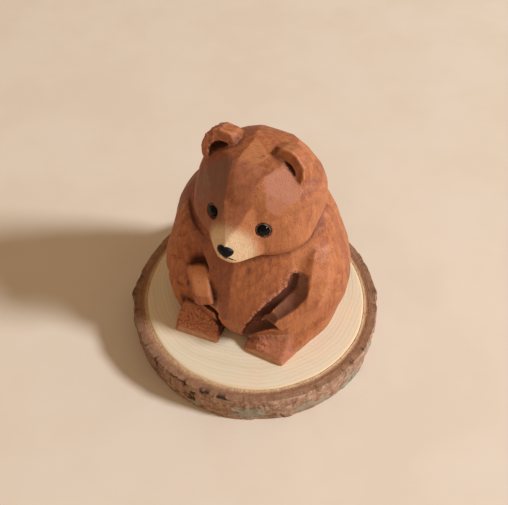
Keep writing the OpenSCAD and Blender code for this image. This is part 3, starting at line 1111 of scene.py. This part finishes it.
NOSE_OUTLINE = [(-2.1, -20.7, -4.0), (-2.0, -21.0, -4.6), (-0.9, -20.9, -3.2), (0.2, -21.2, -3.1),
                (1.2, -21.0, -3.4), (1.9, -20.9, -4.0), (1.7, -21.2, -4.5), (0.9, -22.0, -4.9),
                (0.2, -22.2, -4.8)]
NOSE_R = 0.72
nose_points, nose_out = seat_on(carving, HEAD_AT + np.array(NOSE_OUTLINE) @ HEAD_TURN.T, 3)
nose_points = nose_points - nose_out * 0.02
nose = hull_block([("ball", p, (NOSE_R, NOSE_R, NOSE_R)) for p in nose_points],
                  strips((0, 1, 0), (0, 0, 1), 16, 71, fine=20.0),
                  depth=0.03, soft=0.15, seed=72)


def nose_field(p, mid, radius):
    return nose.dist(p, nose.near(mid, radius))


v, q = surface_net(nose_field, nose_points.min(axis=0) - 1.4, nose_points.max(axis=0) + 1.4, 0.12)
v, _ = seat_on(nose_field, v)
v = v + 0.03 * three(noise, v, 0.6, 80)
add_piece("painted_nose", v + BEAR_AT, outward(v, q), black_lacquer("nose_lacquer"), "bear",
          "nose")

mouth_lines = [[(0.8, -22.0, -4.8), (1.05, -22.1, -5.3), (1.1, -22.1, -5.7)],
               [(1.1, -22.1, -5.7), (0.5, -22.3, -5.9), (-0.2, -22.3, -5.7)],
               [(1.1, -22.1, -5.7), (1.8, -21.9, -6.0), (2.5, -21.7, -6.3),
                (3.4, -21.0, -7.1)]]
LINE_POINTS = 22
LINE_HALF = 0.19
mouth_v, mouth_q, mouth_t, so_far = [], [], [], 0
for line in mouth_lines:
    t = np.linspace(0, len(line) - 1, LINE_POINTS)
    line = np.stack([np.interp(t, np.arange(len(line)), c) for c in np.array(line).T], 1)
    line, out = seat_on(carving, HEAD_AT + line @ HEAD_TURN.T, 3)
    across = unit(np.cross(unit(np.gradient(line, axis=0)), out))
    # blunt at its ends, and thinner towards the far one
    width = LINE_HALF * np.sqrt(np.clip(1 - np.linspace(-1, 1, LINE_POINTS) ** 8, 0.05, 1))
    width[LINE_POINTS // 2:] *= np.linspace(1, 0.55, LINE_POINTS // 2)
    rings = line[:, None] + width[:, None, None] * (
        np.cos(section)[:, None] * across[:, None] + 0.6 * np.sin(section)[:, None] * out[:, None])
    v, q, t = capped(rings)
    mouth_v.append(v)
    mouth_q.append(q + so_far)
    mouth_t.append(t + so_far)
    so_far += len(v)
add_piece("painted_mouth", np.concatenate(mouth_v) + BEAR_AT, np.concatenate(mouth_q),
          black_lacquer("mouth_lacquer"), "bear", "mouth",
          triangles=np.concatenate(mouth_t))


# ---- the slice of branch

SLICE_AT = (np.array(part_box("slice_outer_bark")) / MM).mean(axis=0) * [1, 1, 0]
SLICE_R = 44.3
AROUND = 720
angles = np.linspace(0, 2 * np.pi, AROUND, endpoint=False)
out_of_round = (1 + 0.005 * np.cos(2 * angles - math.radians(20))
                + 0.004 * np.cos(3 * angles + math.radians(40)) + 0.002 * np.cos(5 * angles))


def ring_at(radius, z):
    """A ring that follows the bark's outline. Its radius may vary along it."""
    r = radius * out_of_round
    return np.stack([r * np.cos(angles), r * np.sin(angles), np.full(AROUND, float(z))], -1)


def wandering(radius, by, size, seed):
    """A border's radius at each angle, wandering in and out."""
    p = np.stack([40 * np.cos(angles), 40 * np.sin(angles), np.zeros(AROUND)], -1)
    return radius + by * layered(p, size, 3, seed)


WOOD_R = 39.9
wood_edge = wandering(WOOD_R, 0.28, 9.0, 90)
bark_edge = wandering(42.0, 0.35, 6.0, 95)

# wood: a disc with a slightly wavy sawn face and a worn rim
FACE_RINGS = 46
rings, rim = [], []
for k in range(1, FACE_RINGS + 1):
    f = k / FACE_RINGS
    p = ring_at(wood_edge * f, SLICE_TOP)
    waviness = 0.05 * noise(p * [1, 1, 0] + 3, 7.0, 21) - 0.05
    p[:, 2] += waviness * ramp(1 - f, 0, 0.02)
    if k == FACE_RINGS:
        p[:, 2] -= 0.22
    rings.append(p)
    rim.append(np.full(AROUND, ramp(WOOD_R * f, WOOD_R - 1.7, WOOD_R - 0.3)))
for z, f in ((SLICE_TOP - 0.5, 1.0), (9, 1.0), (4.5, 1.0), (0.4, 1.0), (0.0, 0.994)):
    rings.append(ring_at(wood_edge * f - 0.02, z))
    rim.append(np.ones(AROUND))
for k in range(12, 0, -1):
    rings.append(ring_at(wood_edge * k / 13, 0.0))
    rim.append(np.zeros(AROUND))
v, q, t = capped(np.array(rings))
add_piece("sawn_wood", v + SLICE_AT, q, cut_wood(), "slice", "slice_wood",
          triangles=t, marks={"rim": np.concatenate([*rim, [0, 0]])})

# inner bark: a soft fibrous ring, sunk a little below the wood
inner = wood_edge + 0.03
section = []
for f in np.linspace(0, 1, 9):
    section.append((f, SLICE_TOP - 0.10 - 0.35 * math.sin(math.pi * min(f * 1.05, 1)) ** 0.7))
section += [(1, z) for z in np.linspace(SLICE_TOP - 0.6, 0.3, 7)]
section += [(f, 0.05) for f in np.linspace(1, 0, 6)]
section += [(0, z) for z in np.linspace(0.3, SLICE_TOP - 0.6, 7)]
rings = []
for f, z in section:
    p = ring_at(inner + (bark_edge - inner) * f, z)
    if z > SLICE_TOP - 0.58 and 0 < f < 1:
        p[:, 2] += 0.16 * layered(p, 1.6, 2, 25)
    rings.append(p)
v, q = band(np.array(rings), joined=True)
add_piece("inner_bark", v + SLICE_AT, outward(v, q), inner_bark(), "slice", "slice_inner_bark",
          marks={"out": np.repeat([f for f, _ in section], AROUND)})


def turn_from(degrees):
    """How far round the rim each angle is from a direction, in degrees."""
    return (np.degrees(angles) - degrees + 180) % 360 - 180


def near_angle(degrees, half):
    """1 near a direction, easing to 0 at `half` degrees from it."""
    return 1 - ramp(np.abs(turn_from(degrees)), half * 0.5, half)


# lumps on the bark: direction, height, half width in degrees, and share of the slice's height
KNURLS = [(203, 1.25, 3.6, 0.8), (209, 0.9, 2.8, 0.45), (197, 0.8, 2.4, 0.6),
          (215, 0.6, 2.6, 0.75), (25.5, 0.8, 2.4, 0.7), (30.0, 0.5, 1.8, 0.5)]
# lichen: direction, height, half width in degrees, and half height
LICHEN = [(-18, 3, 7.5, 4.5), (-3, 7, 5.5, 4.0), (-44, 5, 6.5, 2.8), (-69, 6, 8, 4.0),
          (-33, 2.5, 4, 2.5), (8, 4, 4, 3), (70, 6, 9, 4), (140, 5, 8, 4), (-95, 3, 4, 2)]


def bark_relief(z):
    """The bark's height over its plain outline, and its marks, round the slice at height z."""
    p = np.stack([44 * np.cos(angles), 44 * np.sin(angles), np.full(AROUND, float(z))], -1)
    upright = p * [1, 1, 0.45]
    big = layered(upright, 9.0, 2, 101)
    plates = layered(upright, 4.6, 3, 111)
    grain = layered(p, 1.1, 2, 121)
    bend = three(layered, p, 4.5, 130, 2) * 2.2
    vein = np.abs(layered((p + bend) * [1, 1, 0.6], 5.2, 2, 141))
    patchy = ramp(layered(p, 8.0, 2, 151), -0.25, 0.25)
    patchy = np.clip(patchy + 0.3 * near_angle(-130, 75), 0, 1)
    crack = (1 - ramp(vein, 0.012, 0.060)) * patchy
    split = np.abs(layered(p * [1, 1, 0.16] + 7, 2.8, 2, 161))
    seam = (1 - ramp(split, 0.01, 0.06)) * ramp(layered(p + 50, 10.0, 1, 171), 0.05, 0.5)
    crack = np.maximum(crack, seam * 0.8)
    # flakes: where a slow noise steps, the outer skin has lifted away
    flake = layered((p + bend * 0.6) * [1, 1, 0.8], 5.0, 3, 181)
    lifted = ramp(flake, 0.06, 0.11)
    lip = np.clip(lifted * (1 - lifted) * 4, 0, 1)
    knurl = np.zeros(AROUND)
    for at, high, wide, level in KNURLS:
        away = (turn_from(at) / wide) ** 2 + ((z / SLICE_TOP - level) / 0.42) ** 2
        knurl = np.maximum(knurl, high * np.exp(-away))
    height = (0.42 * big + 0.20 * plates + 0.07 * grain + 0.34 * lifted
              - 0.55 * crack + knurl)
    lichen = np.zeros(AROUND)
    for at, level, wide, tall in LICHEN:
        away = (turn_from(at) / wide) ** 2 + ((z - level) / tall) ** 2
        lichen = np.maximum(lichen, np.exp(-0.8 * away))
    dark = np.maximum.reduce([
        0.75 * near_angle(205, 16) * ramp(knurl + 0.5 * plates, -0.1, 0.9),
        # painted shade on the side away from the lamp
        0.35 * near_angle(-140, 40),
        0.85 * near_angle(26, 5) * ramp(knurl, 0.1, 0.6),
        0.6 * lip * (flake < 0.085),
        0.5 * (1 - ramp(plates, -0.75, -0.3))])
    worn = np.clip(lip * (flake >= 0.085) + ramp(plates, 0.35, 0.8) * 0.5, 0, 1)
    return height, {"crack": crack, "lichen": lichen, "dark": dark, "worn": worn}


BARK_LEVELS = 60
inner = bark_edge + 0.04
rings, kept = [], {"crack": [], "lichen": [], "dark": [], "worn": [], "rim": []}


def add_bark_ring(z, share, on_top=0.0):
    """One ring: share 0 is on the inner border and 1 is on the outside.

    `on_top` is how much of the top face's roughness it has.
    """
    h, marks_here = bark_relief(z)
    outside = SLICE_R + 0.15 + 0.45 * math.sin(math.pi * np.clip(z / SLICE_TOP, 0, 1)) + 0.8 * h
    p = ring_at(inner + (outside - inner) * share, z)
    if on_top:
        p[:, 2] += (0.16 * layered(p, 2.4, 3, 33) + 0.08 * h - 0.10) * on_top
    rings.append(p)
    for key, values in marks_here.items():
        kept[key].append(values * share)
    kept["rim"].append(np.full(AROUND, 1.0 if on_top else 0.0))


add_bark_ring(SLICE_TOP - 0.05, 0.0, on_top=0.3)
for share in (0.12, 0.26, 0.4, 0.54, 0.68, 0.8, 0.9):
    add_bark_ring(SLICE_TOP - 0.05, share, on_top=1.0)
add_bark_ring(SLICE_TOP - 0.12, 0.96)
add_bark_ring(SLICE_TOP - 0.3, 0.985)
for z in np.linspace(SLICE_TOP - 0.6, 0.5, BARK_LEVELS):
    add_bark_ring(z, 1.0)
for z, share in ((0.25, 0.985), (0.08, 0.95), (0.02, 0.85), (0.02, 0.6), (0.02, 0.3), (0.02, 0.02)):
    add_bark_ring(z, share)
for z in (1.0, 4.0, 7.0, 10.0, 12.5):
    add_bark_ring(z, 0.0)
v, q = band(np.array(rings), joined=True)
add_piece("outer_bark", v + SLICE_AT, outward(v, q), outer_bark(), "slice", "slice_outer_bark",
          marks={key: np.concatenate(values) for key, values in kept.items()})


# ---- floor, light and camera

def floor_material():
    g = Graph("floor")
    grain = g.noise(g.mm((0.02, 0.02, 1.0)), 1.0, 3, 0.6)
    g.colour = g.mix(g.between(grain, 0.35, 0.65), (229, 205, 178), (225, 200, 172))
    return g.finish(0.6, Specular_IOR_Level=0.3)


FLOOR_HALF = 3.0
mesh = bpy.data.meshes.new("floor")
corners = [(x * FLOOR_HALF, y * FLOOR_HALF, 0) for x, y in ((-1, -1), (1, -1), (1, 1), (-1, 1))]
mesh.from_pydata(corners, [], [(0, 1, 2, 3)])
mesh.materials.append(floor_material())
floor = bpy.data.objects.new("floor", mesh)
bpy.context.scene.collection.objects.link(floor)

CAMERA_RIGHT = (0.9135, 0.4067, 0.0)
CAMERA_UP = (-0.3192, 0.7169, 0.6198)
CAMERA_BACK = (0.2521, -0.5662, 0.7848)
CAMERA_AT = (0.06023, -0.13683, 0.22736)
SENSOR = 36.0
# the focal length over the picture's width
REACH = 700 / 508


def towards_light(degrees, height):
    """A direction, turned from the camera's right towards the camera, at a height in degrees."""
    a, e = math.radians(degrees), math.radians(height)
    right = np.array(CAMERA_RIGHT)
    near = np.array([right[1], -right[0], 0.0])
    flat = math.cos(a) * right + math.sin(a) * near
    return np.array([flat[0] * math.cos(e), flat[1] * math.cos(e), math.sin(e)])


# one soft disc lamp, 2.5 m from the figure's middle
lamp_data = bpy.data.lights.new("key", "AREA")
lamp_data.shape = "DISK"
lamp_data.size = 0.42
lamp_data.energy = 87.0
lamp_data.color = (0.72, 0.83, 1.0)
lamp = bpy.data.objects.new("key", lamp_data)
bpy.context.scene.collection.objects.link(lamp)
middle = Vector((0.0, 0.0, 0.045))
lamp.location = middle + Vector(unit(towards_light(15, 36)) * 2.5)
lamp.rotation_euler = (middle - lamp.location).to_track_quat("-Z", "Y").to_euler()

world = bpy.data.worlds.new("studio")
world.use_nodes = True
world.node_tree.nodes["Background"].inputs["Color"].default_value = (1.0, 0.80, 0.58, 1)
world.node_tree.nodes["Background"].inputs["Strength"].default_value = 0.41
bpy.context.scene.world = world
bpy.context.scene.view_settings.view_transform = "Standard"

camera_data = bpy.data.cameras.new("camera")
camera_data.sensor_width = SENSOR
camera_data.lens = SENSOR * REACH
camera_data.clip_start = 0.01
camera = bpy.data.objects.new("camera", camera_data)
bpy.context.scene.collection.objects.link(camera)
columns = (CAMERA_RIGHT, CAMERA_UP, CAMERA_BACK, CAMERA_AT)
camera.matrix_world = Matrix([*zip(*columns), (0, 0, 0, 1)])
bpy.context.scene.camera = camera
